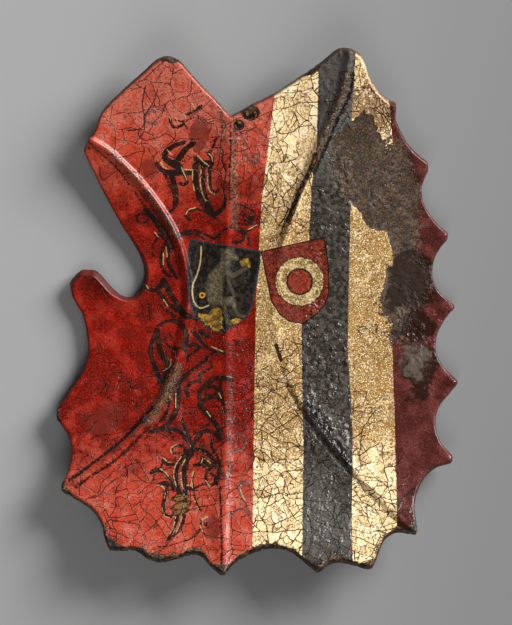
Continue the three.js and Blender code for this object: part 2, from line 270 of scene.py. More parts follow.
# The scrollwork
# Brown-black strokes with darker outlines, and a thin gold light beside some, once covered the red.
# Each has its width at its start and at its end, and the places that it passes through.
strokes = [
    # The small ornaments high on the left
    (3.0, 2.6, [(-92, 203), (-88, 195), (-79, 197)]),
    (1.6, 1.6, [(-87, 203), (-79, 201), (-67, 205)]),
    (2.0, 1.6, [(-79, 201), (-73, 193)]),
    (2.2, 3.4, [(-75, 208), (-66, 212), (-59, 217)]),
    # Two leafy straps that cross below the V
    (5.0, 7.0, [(-67, 178), (-75, 172), (-82, 163), (-87, 156)]),
    (4.0, 7.5, [(-77, 179), (-88, 175), (-96, 169), (-97, 162), (-90, 157), (-82, 153)]),
    (3.0, 7.0, [(-106, 158), (-102, 151), (-94, 147), (-84, 147)]),
    (6.5, 2.2, [(-91, 147), (-88, 136), (-85, 125), (-86, 112), (-95, 103)]),
    (3.0, 2.0, [(-99, 148), (-94, 138), (-89, 127), (-88, 112)]),
    (2.0, 3.4, [(-81, 153), (-77, 145), (-74, 138), (-77, 134), (-81, 136)]),
    (6.0, 5.0, [(-78, 147), (-66, 147)]),
    (7.0, 7.5, [(-64, 161), (-57, 157), (-49, 156)]),
    (2.4, 3.6, [(-43, 183), (-46, 175), (-51, 167)]),
    (3.0, 4.0, [(-51, 166), (-48, 162), (-49, 156)]),
    (6.5, 5.5, [(-65, 155), (-65, 140), (-63, 128), (-57, 115), (-46, 102)]),
    (4.6, 3.6, [(-57, 152), (-57, 137), (-54, 122), (-47, 107)]),
    (4.0, 3.0, [(-50, 153), (-50, 140), (-49, 130), (-44, 126), (-41, 129)]),
    (3.4, 2.0, [(-71, 97), (-75, 101), (-73, 106), (-66, 109), (-56, 106), (-48, 102), (-41, 97)]),
    (5.0, 3.0, [(-44, 103), (-36, 110), (-33, 122)]),
    # Curls along the left rib
    (2.6, 2.6, [(-115, 102), (-122, 104), (-127, 101), (-126, 96), (-121, 94), (-115, 97)]),
    (6.0, 6.0, [(-117, 107), (-108, 97), (-100, 87), (-94, 77), (-90, 68)]),
    (4.0, 2.4, [(-97, 79), (-105, 81), (-109, 81)]),
    (2.4, 2.0, [(-105, 78), (-110, 70), (-110, 61), (-107, 57)]),
    (3.6, 3.4, [(-97, 73), (-101, 61), (-101, 49), (-97, 41), (-91, 37)]),
    (3.6, 4.0, [(-93, 70), (-94, 58), (-93, 49), (-88, 41), (-85, 36)]),
    (2.0, 6.0, [(-120, 30), (-115, 24), (-108, 23), (-101, 28)]),
    (7.0, 3.4, [(-99, 33), (-92, 20), (-84, 8), (-76, -1), (-64, -8)]),
    (5.0, 3.0, [(-104, 21), (-95, 10), (-85, 2), (-73, -6), (-61, -4)]),
    (2.0, 3.0, [(-104, 8), (-94, 0), (-87, -5)]),
    (1.4, 1.4, [(-116, 12), (-114, 2), (-113, -8)]),
    # Curls above the left arms and beside the keel
    (3.0, 2.6, [(-85, 80), (-77, 84), (-67, 86), (-58, 83), (-46, 78)]),
    (2.4, 2.4, [(-82, 80), (-72, 82), (-62, 81), (-56, 77)]),
    (2.6, 2.6, [(-44, 77), (-37, 85), (-30, 89), (-20, 89), (-13, 85), (-9, 78), (-9, 71)]),
    (2.4, 4.0, [(-23, 86), (-16, 84), (-14, 78), (-18, 74), (-25, 74)]),
    (2.0, 2.6, [(-22, 115), (-13, 111), (-6, 108), (-3, 102), (-6, 95), (-12, 92), (-19, 94), (-23, 98)]),
    (2.0, 4.6, [(-14, 104), (-15, 99), (-10, 96), (-6, 100)]),
    (2.6, 1.6, [(-10, 85), (-4, 89), (2, 93)]),
    # The great loop beside the rib
    (4.6, 5.0, [(-106, -21), (-112, -35), (-111, -50), (-106, -62), (-102, -74)]),
    (6.0, 5.0, [(-106, -20), (-104, -34), (-100, -46), (-93, -56)]),
    (6.0, 4.0, [(-92, -57), (-97, -66), (-99, -76)]),
    (2.4, 7.0, [(-106, -15), (-96, -10), (-86, -10), (-78, -16), (-75, -25), (-77, -38)]),
    (2.0, 3.0, [(-90, -30), (-92, -25), (-97, -28), (-95, -35), (-87, -39), (-79, -38)]),
    (5.0, 1.8, [(-76, -30), (-75, -42), (-73, -53)]),
    (5.0, 2.4, [(-78, -37), (-68, -35), (-60, -37), (-68, -43), (-74, -49)]),
    (5.0, 1.6, [(-68, -21), (-61, -28), (-55, -36), (-47, -41), (-34, -44)]),
    (6.0, 2.0, [(-59, -21), (-54, -26), (-47, -24)]),
    (2.2, 4.4, [(-35, -43), (-46, -43), (-59, -54), (-72, -64), (-81, -73), (-84, -84)]),
    (2.0, 2.4, [(-31, -31), (-27, -36), (-22, -35), (-21, -31), (-25, -30)]),
    # The stem right of the rib's crest
    (7.5, 4.0, [(-84, -75), (-84, -90), (-85, -102), (-90, -113), (-99, -122), (-113, -127)]),
    (3.6, 3.0, [(-92, -86), (-93, -96), (-95, -106), (-103, -117)]),
    # The tangle left of the keel
    (2.4, 3.0, [(-54, -51), (-49, -53), (-48, -59), (-53, -62), (-60, -66), (-60, -74)]),
    (5.0, 2.4, [(-73, -88), (-75, -81), (-69, -75), (-60, -72)]),
    (4.0, 5.0, [(-61, -92), (-60, -83), (-53, -76), (-45, -71), (-35, -70), (-27, -72)]),
    (3.4, 3.4, [(-61, -83), (-53, -80), (-45, -79), (-42, -84), (-46, -89), (-54, -88)]),
    (5.0, 3.4, [(-61, -98), (-54, -92), (-43, -90), (-36, -95)]),
    (4.0, 3.0, [(-39, -74), (-38, -84), (-36, -96), (-33, -106)]),
    (6.0, 5.0, [(-59, -101), (-51, -109), (-44, -118), (-38, -127)]),
    (2.4, 2.4, [(-48, -101), (-41, -100), (-39, -105), (-42, -110)]),
    (1.8, 1.8, [(-11, -76), (-16, -82)]),
    # Stems that meet above the clasp
    (2.4, 4.0, [(-70, -108), (-76, -107), (-79, -113), (-76, -122), (-72, -131), (-69, -143)]),
    (3.4, 2.0, [(-104, -125), (-95, -125), (-90, -130), (-88, -136)]),
    (3.0, 5.0, [(-98, -124), (-88, -124), (-79, -128), (-75, -134)]),
    (6.0, 3.0, [(-60, -129), (-66, -137), (-69, -144)]),
    (2.0, 3.0, [(-67, -128), (-58, -122), (-50, -118)]),
    (4.0, 5.0, [(-62, -129), (-53, -126), (-45, -128), (-39, -134)]),
    (3.0, 3.0, [(-47, -135), (-48, -143), (-43, -151), (-40, -160), (-41, -172), (-42, -183)]),
    (2.4, 3.4, [(-80, -149), (-88, -149), (-90, -144), (-84, -141), (-77, -143), (-75, -149)]),
    (5.0, 4.0, [(-76, -148), (-67, -146), (-58, -146), (-50, -151), (-44, -159)]),
    # The sheaf of strap leaves
    (5.0, 5.5, [(-73, -150), (-81, -156), (-85, -166), (-86, -176), (-83, -188), (-80, -199)]),
    (5.0, 5.0, [(-69, -150), (-75, -159), (-77, -171), (-76, -183), (-76, -199)]),
    (3.0, 3.6, [(-99, -156), (-95, -161), (-88, -161)]),
    (1.8, 2.2, [(-99, -157), (-101, -163), (-104, -167)]),
    (2.4, 2.4, [(-104, -168), (-106, -165), (-111, -168), (-112, -171), (-106, -168)]),
    (2.6, 4.0, [(-103, -167), (-96, -171), (-91, -178), (-88, -188)]),
    (3.0, 6.0, [(-104, -182), (-98, -181), (-95, -182)]),
    (4.0, 3.6, [(-95, -184), (-97, -194), (-99, -205), (-97, -214), (-90, -216)]),
    (1.6, 2.6, [(-66, -169), (-68, -178), (-67, -188), (-65, -199), (-59, -210)]),
    (3.6, 1.2, [(-75, -186), (-66, -186), (-58, -182), (-51, -182)]),
    (3.6, 6.0, [(-66, -162), (-59, -160), (-57, -155)]),
    (6.0, 4.0, [(-57, -156), (-51, -161), (-44, -160)]),
    (3.0, 3.0, [(-46, -163), (-52, -168), (-54, -175), (-51, -182), (-46, -182), (-44, -175), (-48, -171)]),
    # Its tails below the clasp
    (5.0, 1.8, [(-84, -214), (-86, -223), (-90, -232), (-96, -244)]),
    (4.4, 2.0, [(-77, -215), (-79, -223), (-84, -232), (-93, -240)]),
    (1.2, 1.4, [(-106, -247), (-97, -247), (-85, -244), (-70, -239), (-62, -232), (-59, -225), (-60, -218)]),
    (1.4, 1.8, [(-60, -223), (-57, -231), (-53, -238)]),
    (3.6, 3.6, [(-55, -221), (-54, -224)]),
]
# Curls that have faded to a greyish red
faded_strokes = [
    (3.0, 2.6, [(-107, 211), (-113, 212), (-118, 207), (-118, 202), (-113, 199), (-106, 199)]),
    (1.8, 3.6, [(-17, 189), (-14, 178), (-13, 168), (-8, 160), (-2, 158), (2, 162), (0, 166), (-4, 164)]),
    (3.4, 2.6, [(-27, -148), (-20, -147), (-14, -143), (-11, -137), (-14, -131), (-19, -129), (-23, -133)]),
    (2.4, 3.6, [(-9, -214), (-12, -203), (-16, -195), (-19, -187), (-17, -181), (-12, -180), (-9, -184)]),
    (2.4, 2.4, [(-26, -216), (-23, -210), (-17, -208), (-11, -211)]),
]
# Gold lights, drawn with a fine brush
gold_lights = [
    [(-95, 171), (-90, 166), (-83, 159)], [(-102, 158), (-97, 152), (-86, 150)],
    [(-80, 153), (-77, 146), (-74, 139)], [(-63, 165), (-58, 160), (-51, 154)],
    [(-51, 167), (-48, 164), (-47, 159)], [(-77, 150), (-67, 150)], [(-68, 148), (-68, 138), (-66, 128)],
    [(-59, 150), (-60, 138), (-58, 126), (-54, 117)], [(-52, 146), (-52, 136), (-50, 128), (-45, 124)],
    [(-92, 205), (-90, 201)], [(-86, 205), (-82, 198)], [(-77, 210), (-75, 204)], [(-68, 220), (-65, 214)],
    [(-75, 103), (-72, 108), (-65, 110)], [(-108, 84), (-104, 79)], [(-9, 87), (0, 92)],
    [(-99, 62), (-99, 50)], [(-96, 68), (-95, 58)], [(-118, 29), (-115, 25)], [(-99, 13), (-94, 6)],
    [(-91, -50), (-92, -57), (-99, -63)], [(-57, -24), (-54, -32), (-47, -37), (-36, -42)],
    [(-94, -86), (-90, -93)], [(-86, -86), (-86, -101)], [(-40, -86), (-38, -91)], [(-53, -105), (-49, -111)],
    [(-90, -149), (-91, -144), (-85, -140)], [(-80, -153), (-86, -162), (-88, -173), (-85, -185)],
    [(-76, -156), (-80, -166), (-80, -177), (-78, -187)], [(-99, -154), (-95, -158), (-90, -159)],
    [(-102, -166), (-96, -170), (-92, -176)], [(-105, -183), (-100, -184), (-97, -189), (-98, -197)],
    [(-100, -207), (-98, -215), (-92, -217)], [(-67, -169), (-69, -177), (-68, -186)],
    [(-67, -197), (-62, -207)], [(-74, -183), (-69, -183)], [(-57, -154), (-59, -160)],
    [(-55, -155), (-49, -160)], [(-54, -178), (-50, -184)], [(-86, -216), (-88, -226), (-92, -234)],
    [(-79, -216), (-81, -223), (-85, -232)], [(-60, -147), (-54, -150)], [(-58, -219), (-52, -216)],
    [(-60, -225), (-57, -232)], [(-17, -183), (-17, -190), (-12, -200)],
]
stroke_step = 1.3


def drawn(listed):
    """Smooth lines, each with half of its width at every point."""
    lines = []
    for start, end, knots in listed:
        line = smooth(knots, stroke_step)
        lines.append((np.linspace(start, end, len(line)) / 2, line))
    return lines


stroke_lines = drawn(strokes)
faded_lines = drawn(faded_strokes)
light_lines = drawn([(0.9, 0.7, knots) for knots in gold_lights])


def aside(line, offset):
    """A line moved to its left."""
    along = np.gradient(line, axis=0)
    left = np.column_stack([-along[:, 1], along[:, 0]])
    left /= np.linalg.norm(left, axis=1, keepdims=True)
    return line + left * np.broadcast_to(offset, len(line))[:, None]


def brushed(places, lines):
    """How far each place is outside the nearest stroke."""
    outside = np.full(len(places), 9.0)
    for halves, line in lines:
        room = halves.max() + 4
        close = np.all((places > line.min(0) - room) & (places < line.max(0) + room), axis=1)
        near, _, along = beside(places[close], line)
        half = np.interp(along, np.linspace(0, (len(line) - 1) * stroke_step, len(line)), halves)
        outside[close] = np.minimum(outside[close], near - half)
    return outside


# The two small shields
# They hang side by side over the middle: one black, with a seated beast that holds a gold ball, and
# one red, with a cream ring. Both are painted flat.
left_arms = [(-71, 77), (4, 64), (3, 50), (0, 32), (-4, 10), (-9, -3), (-18, -11), (-30, -19), (-41, -22),
             (-50, -19), (-59, -12), (-68, -1), (-72, 12), (-74, 39), (-74, 59)]
right_arms = [(4, 64), (71, 79), (74, 61), (76, 44), (76, 17), (71, 6), (61, -4), (49, -13), (33, -10),
              (24, -3), (15, 11), (9, 39)]
ring_middle = np.array([45, 32])
ring_radius = 25.5
disc_radius = 12.7
# Limbs run from one place and radius to the next
beast_limbs = {
    "back": [(-37, 47, 6.5), (-43, 36, 9.5), (-45, 24, 10), (-44, 15, 9)],
    "neck and head": [(-34, 50, 6), (-32, 58, 7), (-30, 61, 7.5)],
    "muzzle": [(-27, 59, 5), (-22, 57, 3.4)],
    "ears": [(-38, 65, 2.4), (-25, 66, 2)],
    "arm": [(-33, 43, 3.8), (-25, 38, 3.2), (-19, 42, 2.6), (-12, 46, 2.4)],
    "other arm": [(-31, 36, 2.2), (-28, 26, 1.8), (-24, 17, 1.8)],
    "thigh": [(-45, 12, 7), (-37, 11, 5), (-27, 12, 4.4)],
    "shin": [(-25, 11, 3.4), (-23, 2, 2.6), (-19, -4, 2.2), (-11, -5, 1.8)],
    "far leg": [(-36, 9, 3), (-33, -3, 2.4), (-31, -12, 2.2), (-27, -14, 1.6)],
}
gold_shapes = {
    "ball": [(-12, 51, 5.2), (-12, 51.1, 5.2)],
    "belt": [(-53, 18, 2.8), (-41, 17, 3)],
    "mound, left": [(-60, -4, 2), (-51, -9, 5.5)],
    "mound, middle": [(-43, -2, 6.5), (-43, -14, 6.5)],
    "mound, right": [(-28, -12, 3.4), (-19, -9, 2.4)],
}
beast_tail = smooth([(-59, 69), (-60, 52), (-64, 38), (-68, 28), (-68, 16), (-65, 8), (-59, 4), (-49, 8)], 1)
tail_ring = np.array([-58, 17.5])
beast_window = [(-78, -24), (6, 80)]


def outside_limbs(places, limbs):
    """How far each place is outside a figure of tapering limbs."""
    outside = np.full(len(places), 99.0)
    for limb in limbs.values():
        for (x0, y0, r0), (x1, y1, r1) in zip(limb[:-1], limb[1:]):
            step = np.array([x1 - x0, y1 - y0])
            offset = places - (x0, y0)
            share = np.clip(offset @ step / (step @ step), 0, 1)
            gap = np.hypot(*(offset - share[:, None] * step).T)
            outside = np.minimum(outside, gap - r0 - share * (r1 - r0))
    return outside


# The gesso
# White gesso over the hide carries the paint. It has crazed into curled flakes, which are wide on the
# lobe and small on the stripes, and it has fallen off one side down to the leather.
gesso_depth = 0.7
crack_step = 1.5
crack_depth = 0.08
flake_curl = 0.1
flake_tilt = 0.025
# Half of a crack's own width: the first cracks, which cut the longest pieces, opened widest
crack_halves = [0.03, 0.12, 0.25]
cut_lengths = [16, 34]
# How near a crack may come to the rim and to the bared leather
uncracked_rim = 2.2
uncracked_break = 2
# How the gesso crazed: the middle of a patch, its reach, the share of cracks that opened there and
# about how wide its flakes are
crazed_patches = [
    (-105, 215, 65, 1.0, 22), (-75, 250, 25, 0.7, 9), (-150, -40, 60, 0.45, 15), (-120, -160, 60, 0.9, 13),
    (-60, -225, 60, 1.0, 9), (-150, -215, 40, 1.0, 8), (-15, -60, 50, 0.5, 9), (-15, -190, 50, 0.7, 9),
    (-10, 140, 45, 0.6, 9), (2, 205, 32, 1.0, 6), (35, 215, 48, 0.45, 15), (32, 100, 40, 0.4, 7),
    (25, -90, 40, 0.4, 8), (25, -170, 60, 0.95, 11), (20, -240, 40, 1.0, 8), (118, 215, 38, 1.2, 4.5),
    (125, -110, 40, 0.4, 7), (125, -205, 50, 1.0, 7), (75, -250, 35, 0.5, 8), (85, -70, 50, 0.15, 8),
    (175, -130, 60, -0.1, 15),
]
# Single breaks: a width and the places that they pass through
breaks = [
    (3.4, [(20, -35), (22, -42), (25, -51)]),
    (1.2, [(-44, 173), (-40, 173), (-36, 170), (-37, 160), (-35, 153), (-33, 148), (-34, 140), (-36, 130),
           (-34, 118), (-36, 108)]),
    (1.1, [(-119, 192), (-119, 206), (-121, 220), (-118, 237)]),
    (0.9, [(-137, 191), (-123, 193), (-119, 200)]),
    (0.8, [(-119, 206), (-109, 222), (-105, 234)]),
    (0.8, [(-109, 222), (-106, 214), (-97, 212)]),
    (0.8, [(-124, 193), (-125, 186), (-119, 181), (-104, 184), (-96, 188), (-85, 180)]),
]
# The bared leather: its jagged sides, where thick cream paint broke off, and its rubbed side. The paint
# fades out over more millimetres where it was rubbed than where it broke.
rubbed_fade = 9.0
broken_fade = 0.7
jagged_side = [(75, 155), (79, 182), (97, 201), (104, 204), (112, 212), (117, 208), (124, 205), (126, 196),
               (129, 190), (133, 182), (142, 181)]
rubbed_side = [(142, 181), (152, 184), (165, 160), (173, 128), (172, 91), (172, 56), (188, 45), (190, 30),
               (177, 15), (167, -2), (159, -23), (143, -37)]
lower_jagged_side = [(143, -37), (139, -26), (136, -10), (130, 1), (127, 11), (134, 27), (137, 45),
                     (143, 47), (144, 62), (140, 75), (136, 84), (125, 86), (114, 91), (110, 104), (106, 106),
                     (100, 114), (88, 128), (75, 155)]


def within(places, corners):
    """Which places lie within a closed shape."""
    x, y = places.T
    odd = np.zeros(len(places), bool)
    for (x0, y0), (x1, y1) in zip(corners, np.roll(corners, -1, axis=0)):
        if y0 != y1:
            odd ^= ((y0 > y) != (y1 > y)) & (x < x0 + (y - y0) * (x1 - x0) / (y1 - y0))
    return odd


def outside_of(places, corners):
    """How far each place is outside a closed shape, less than nothing within it."""
    corners = np.array(corners, float)
    near = beside(places, np.vstack([corners, corners[:1]]))[0]
    return np.where(within(places, corners), -near, near)


def jagged(side):
    """A line with the small teeth of a break."""
    line = even(np.array(side, float), 1.3)
    return line + 1.5 * np.column_stack([rough(line, 4, 51), rough(line, 4, 52)])


upper_break, lower_break = jagged(jagged_side), jagged(lower_jagged_side)
bare_leather = np.vstack([upper_break, np.array(rubbed_side[1:-1], float), lower_break[:-1]])


def crazing(places):
    """The share of cracks that opened at each place, and about how wide the flakes are there."""
    share = np.full(len(places), 0.1)
    weight = np.full(len(places), 0.15)
    flake = 14 * weight
    for x, y, reach, most, wide in crazed_patches:
        near = np.exp(-((places[:, 0] - x) ** 2 + (places[:, 1] - y) ** 2) / reach**2)
        share += most * near
        weight += near
        flake += wide * near
    return np.clip(share, 0, 1), flake / weight


def swayed(places):
    """Straight cracks, bent as real ones are. Cracks that meet still meet."""
    for size, sway, seed in ((50, 8, 59), (24, 4.5, 61), (9, 2.1, 63), (3.5, 0.6, 65)):
        places = places + sway * np.column_stack([rough(places, size, seed), rough(places, size, seed + 1)])
    return places


def split_gesso(seed):
    """Splits the gesso again and again across its longest way, until each flake is small enough.

    Gives the flakes, as straight-sided shapes, and the cuts, each with how long the piece was that it cut."""
    chance = np.random.default_rng(seed)
    right, top = width / 2 + 12, height / 2 + 12
    pieces = [np.array([(-right, -top), (right, -top), (right, top), (-right, top)])]
    flakes, cuts = [], []
    while pieces:
        piece = pieces.pop()
        middle = piece.mean(0)
        offsets = piece - middle
        way = np.linalg.eigh(offsets.T @ offsets)[1][:, 1]
        length = np.ptp(offsets @ way)
        if length < 1.5 * crazing(middle[None])[1][0] * chance.uniform(0.75, 1.4):
            flakes.append(piece)
            continue
        turn = chance.normal(0, 0.2)
        way = np.array([way[0] * math.cos(turn) - way[1] * math.sin(turn),
                        way[0] * math.sin(turn) + way[1] * math.cos(turn)])
        level = offsets @ way - chance.uniform(-0.25, 0.25) * length
        halves, cut = ([], []), []
        for here, now, there, then in zip(piece, level, np.roll(piece, -1, axis=0), np.roll(level, -1)):
            halves[int(now > 0)].append(here)
            if (now > 0) != (then > 0):
                crossing = here + (there - here) * now / (now - then)
                cut.append(crossing)
                halves[0].append(crossing)
                halves[1].append(crossing)
        pieces += [np.array(half) for half in halves]
        cuts.append((length, even(np.array(cut), crack_step)))
    return flakes, cuts


def tree_of(points):
    tree = kdtree.KDTree(len(points))
    for number, (x, y) in enumerate(points):
        tree.insert((x, y, 0), number)
    tree.balance()
    return tree


def how_near(places, tree):
    return np.array([tree.find((x, y, 0))[2] for x, y in places])


flakes, cuts = split_gesso(31)
every = swayed(np.vstack([line for _, line in cuts]))
opened = crazing(every)[0] > 0.45 + 0.4 * rough(every, 18, 67)
opened &= within(every, front_edge) & (how_near(every, tree_of(front_edge)) > uncracked_rim)
opened &= outside_of(every, bare_leather) > uncracked_break
ends = np.cumsum([len(line) for _, line in cuts])
nets = {half: [] for half in crack_halves}
for (length, _), line, open_points in zip(cuts, np.split(every, ends[:-1]), np.split(opened, ends[:-1])):
    half = crack_halves[np.searchsorted(cut_lengths, length, side="right")]
    for run in np.split(np.arange(len(line)), np.flatnonzero(np.diff(open_points)) + 1):
        if open_points[run[0]] and len(run) > 1:
            nets[half].append(line[run])
break_lines = [(0.5 * full, smooth(knots, crack_step)) for full, knots in breaks]


# The skin of the front
# One sheet of small triangles, with its points set along every crack, stroke and painted edge, so
# that each of those is sharp.
figure_step = 1.1
rim_insets = (0.9, 2.0)
shortest_bridge = 0.5
# How far apart the grid's points are, and how far they and the lesser marks keep from other points
grid_step = 1.9
grid_gap = 1.15
mark_gap = 0.45


def grid_over(low, high, step):
    """Points in rows, each set in by half a step, as the seats in a theatre are."""
    rows = np.arange(low[1], high[1], step * math.sqrt(0.75))
    across = np.arange(low[0], high[0], step)
    points = np.stack(np.meshgrid(across, rows), -1)
    points[1::2, :, 0] += step / 2
    return points.reshape(-1, 2)


rows = [front_edge + inward_of(front_edge) * inset for inset in rim_insets]
for halves, line in stroke_lines + faded_lines:
    rows += [aside(line, offset) for offset in (-halves - 0.6, -halves, halves, halves + 0.6)]
for halves, line in light_lines:
    rows += [line, aside(line, -halves - 0.5), aside(line, halves + 0.5)]
for corners in (left_arms, right_arms):
    border = even(np.array(corners + corners[:1], float), stroke_step)
    rows += [aside(border, -0.6), aside(border, 0.6)]
turns = np.linspace(0, 2 * math.pi, 100)
for radius in (disc_radius - 0.6, disc_radius + 0.6, ring_radius - 0.6, ring_radius + 0.6):
    rows.append(ring_middle + radius * np.column_stack([np.cos(turns), np.sin(turns)]))
for broken in (upper_break, lower_break):
    rows += [aside(broken, -0.5), aside(broken, 0.5)]
rows.append(grid_over(beast_window[0], beast_window[1], figure_step))
marks = [front_edge] + [line for _, line in break_lines] + [line for net in nets.values() for line in net]
fixed = np.vstack(marks)
joined = []
count = len(front_edge)
for mark in marks[1:]:
    joined += [(count + i, count + i + 1) for i in range(len(mark) - 1)]
    count += len(mark)
extra = np.vstack(rows)
extra = extra[how_near(extra, tree_of(fixed)) > mark_gap]
grid = grid_over((-width / 2, -height / 2), (width / 2, height / 2), grid_step)
grid = grid[how_near(grid, tree_of(np.vstack([fixed, extra]))) > grid_gap]
points = np.vstack([fixed, extra, grid])
for _ in range(2):
    flat, sides, front_faces, origins, side_origins, _ = delaunay_2d_cdt(
        [Vector(point) for point in points], joined, [list(range(len(front_edge)))], 1, 0.01)
    flat = np.array([point[:] for point in flat])
    # A side that bridges two cracks would be as dark as they are, so it gets a point at its middle
    on_crack = np.array([not olds or len(front_edge) <= min(olds) < len(fixed) for olds in origins])
    sides = np.array(sides)
    bridges = sides[np.array([not olds for olds in side_origins]) & on_crack[sides].all(axis=1)]
    bridges = bridges[np.linalg.norm(flat[bridges[:, 0]] - flat[bridges[:, 1]], axis=1) > shortest_bridge]
    points = np.vstack([points, flat[bridges].mean(axis=1)])
new_place = {old: new for new, olds in enumerate(origins) for old in olds}
ring = np.array([new_place[i] for i in range(len(front_edge))])
used, front_faces = np.unique(np.array(front_faces), return_inverse=True)
front_faces = front_faces.reshape(-1, 3)
flat = flat[used]
ring = np.searchsorted(used, ring)

# What lies where on the front, in millimetres
x, y = flat.T
rim = beside(flat, np.vstack([front_edge, front_edge[:1]]))[0]
crack = np.full(len(flat), 9.0)
for half, net in nets.items():
    finer = [(line[:-1, None] + np.diff(line, axis=0)[:, None] * np.linspace(0, 1, 5)[:, None]).reshape(-1, 2)
             for line in net]
    crack = np.minimum(crack, how_near(flat, tree_of(np.vstack(finer))) - half)
for half, line in break_lines:
    crack = np.minimum(crack, beside(flat, line)[0] - half)
crazed, _ = crazing(flat)
bare = -outside_of(flat, bare_leather)
rubbed_away = beside(flat, np.array(rubbed_side + [(75, 155), (60, 190)], float))[0]
bare = bare / np.where(rubbed_away < np.abs(bare) + 4, rubbed_fade, broken_fade)

# The flake that each place is on, with the tone and the tilt of that flake
straight = flat
for _ in range(7):
    straight = flat - (swayed(straight) - straight)
chance = np.random.default_rng(71)
tones = chance.uniform(-1, 1, len(flakes))
tilts = chance.normal(0, flake_tilt, (len(flakes), 2))
tone = np.zeros(len(flat))
tilted = np.zeros(len(flat))
for flake, flake_tone, tilt in zip(flakes, tones, tilts):
    inside = np.flatnonzero(np.all((straight > flake.min(0)) & (straight < flake.max(0)), axis=1))
    inside = inside[within(straight[inside], flake)]
    tone[inside] = flake_tone
    tilted[inside] = (straight[inside] - flake.mean(0)) @ tilt

# The stripes' edges, from the upper end down, so that what is right of them is on their left
stripe_edges = {
    "from_red": [(20, 245), (19, 232), (5, 118), (-1, 11), (-3, -95), (-5, -266)],
    "from_cream": [(65, 277), (65, 258), (64, 218), (63, 176), (58, 136), (55, 78), (47, -19), (48, -97),
                   (49, -146), (48, -225), (47, -282)],
    "from_black": [(104, 299), (104, 276), (100, 205), (99, 114), (97, 34), (96, -40), (99, -87), (101, -127),
                   (101, -166), (100, -205), (101, -282)],
    "from_pale": [(137, 267), (139, 223), (143, 181), (141, 78), (144, 54), (143, -38), (145, -100),
                  (147, -186), (148, -266)],
}
stripes = {name: across_from(flat, np.array(knots, float)) for name, knots in stripe_edges.items()}
pale = np.maximum(np.minimum(stripes["from_red"], -stripes["from_cream"]),
                  np.minimum(stripes["from_black"], -stripes["from_pale"]))
wrinkled = ease(stripes["from_cream"], -2, 4) * (1 - ease(stripes["from_black"], -4, 2))
wrinkled += 0.9 * np.exp(-((x + 8) ** 2 + (y - 165) ** 2) / 45**2) * (1 - ease(stripes["from_red"], -3, 3))
wrinkled += 0.8 * np.exp(-((x - 125) ** 2 + (y - 118) ** 2) / 24**2)
wrinkled += 0.9 * np.exp(-((x - 165) ** 2 + (y + 15) ** 2) / 50**2) * ease(stripes["from_pale"], -2, 4)
# Paint paler towards both ends of the board: partly bleached, and partly painted light and sheen
bleach_and_sheen = 1.4 * ease(y, 70, 230) + ease(-y, 95, 220)

# Marks of use: half their width, their strength and the places that they pass through
rubs = [
    (5, 1.0, [(-23, 200), (-24, 170), (-25, 150), (-24, 120), (-24, 90)]),
    (5, 0.6, [(-52, 240), (-40, 218), (-36, 195), (-38, 165)]),
    (3.2, 0.95, [(-160, 174), (-150, 166), (-130, 143), (-112, 120), (-100, 103), (-84, 78)]),
    (6, 1.3, [(-84, -60), (-91, -75), (-97, -88), (-107, -104), (-113, -113)]),
    (3.5, 0.6, [(-113, -113), (-140, -135), (-175, -160), (-200, -183)]),
    (4.4, 1.2, [(97, 250), (80, 207), (66, 167), (58, 150)]),
    (5, 0.4, [(-28, -66), (-27, -100), (-28, -130)]),
    (3, 0.8, [(-31, -148), (-30, -170)]),
    (3, 0.6, [(-33, -215), (-33, -228)]),
    (6, 0.8, [(62, 262), (78, 272), (92, 276)]),
]
# Dark lines at the feet of the ribs and the keel: partly grime, partly painted shade in their grooves
grime_and_shade_lines = [
    (1.6, 0.9, [(-178, 179), (-145, 148), (-114, 104), (-98, 75), (-85, 52)]),
    (1.8, 1.3, [(-111, -101), (-136, -129), (-162, -151), (-198, -178)]),
    (2.6, 1.0, [(-114, -122), (-146, -154), (-178, -175), (-191, -185)]),
    (1.4, 1.2, [(-39, -186), (-38, -215), (-37, -250), (-38, -272)]),
    (1.0, 0.9, [(-34, -20), (-34, -45), (-33, -66), (-36, -100), (-38, -140), (-39, -186)]),
    (1.6, 1.0, [(-28, 196), (-28, 170), (-29, 150), (-29, 115)]),
    (1.0, 0.9, [(-17, 152), (-17, 130), (-18, 105)]),
    (3.6, 1.6, [(54, -97), (73, -122), (96, -158)]),
    (2.2, 1.3, [(101, 251), (98, 230), (86, 205), (70, 168), (60, 147)]),
    (1.0, 0.9, [(104, -165), (136, -202), (144, -215)]),
]
# Blots: their middle, their two half widths and how far they are turned, in degrees
blots = {
    "spot": [(-7, 210, 9, 7, 0), (-19, 197, 5, 5, 0)],
    "mended": [(-61, 187, 11, 19, -8), (-160, -113, 22, 13, 35), (-47, -228, 8, 14, 0),
               (-114, 151, 9, 11, 0)],
    "dark_patch": [(161, 30, 24, 36, 0), (168, -18, 20, 20, 0), (173, -58, 19, 34, 0)],
    # The grey patch is partly grey leather and partly a painted sheen
    "grey_and_sheen_patch": [(169, -48, 15, 20, 0)],
    "clasp": [(-81, -196, 8, 3.4, 12), (-80, -204.5, 9, 3.2, 14), (-81, -211, 7.5, 2.6, 14)],
}
# The long split beside the right rib, down to the wood
split = smooth([(62, 166), (59, 156), (53, 143), (45, 126), (37, 105), (33, 96)], 2)


def marked(places, marks):
    """How strong the marks are at each place, from their strength on their line to less than nothing."""
    strongest = np.full(len(places), -9.0)
    for half, strength, knots in marks:
        near = beside(places, smooth(knots, 6))[0]
        strongest = np.maximum(strongest, strength - near / half)
    return strongest


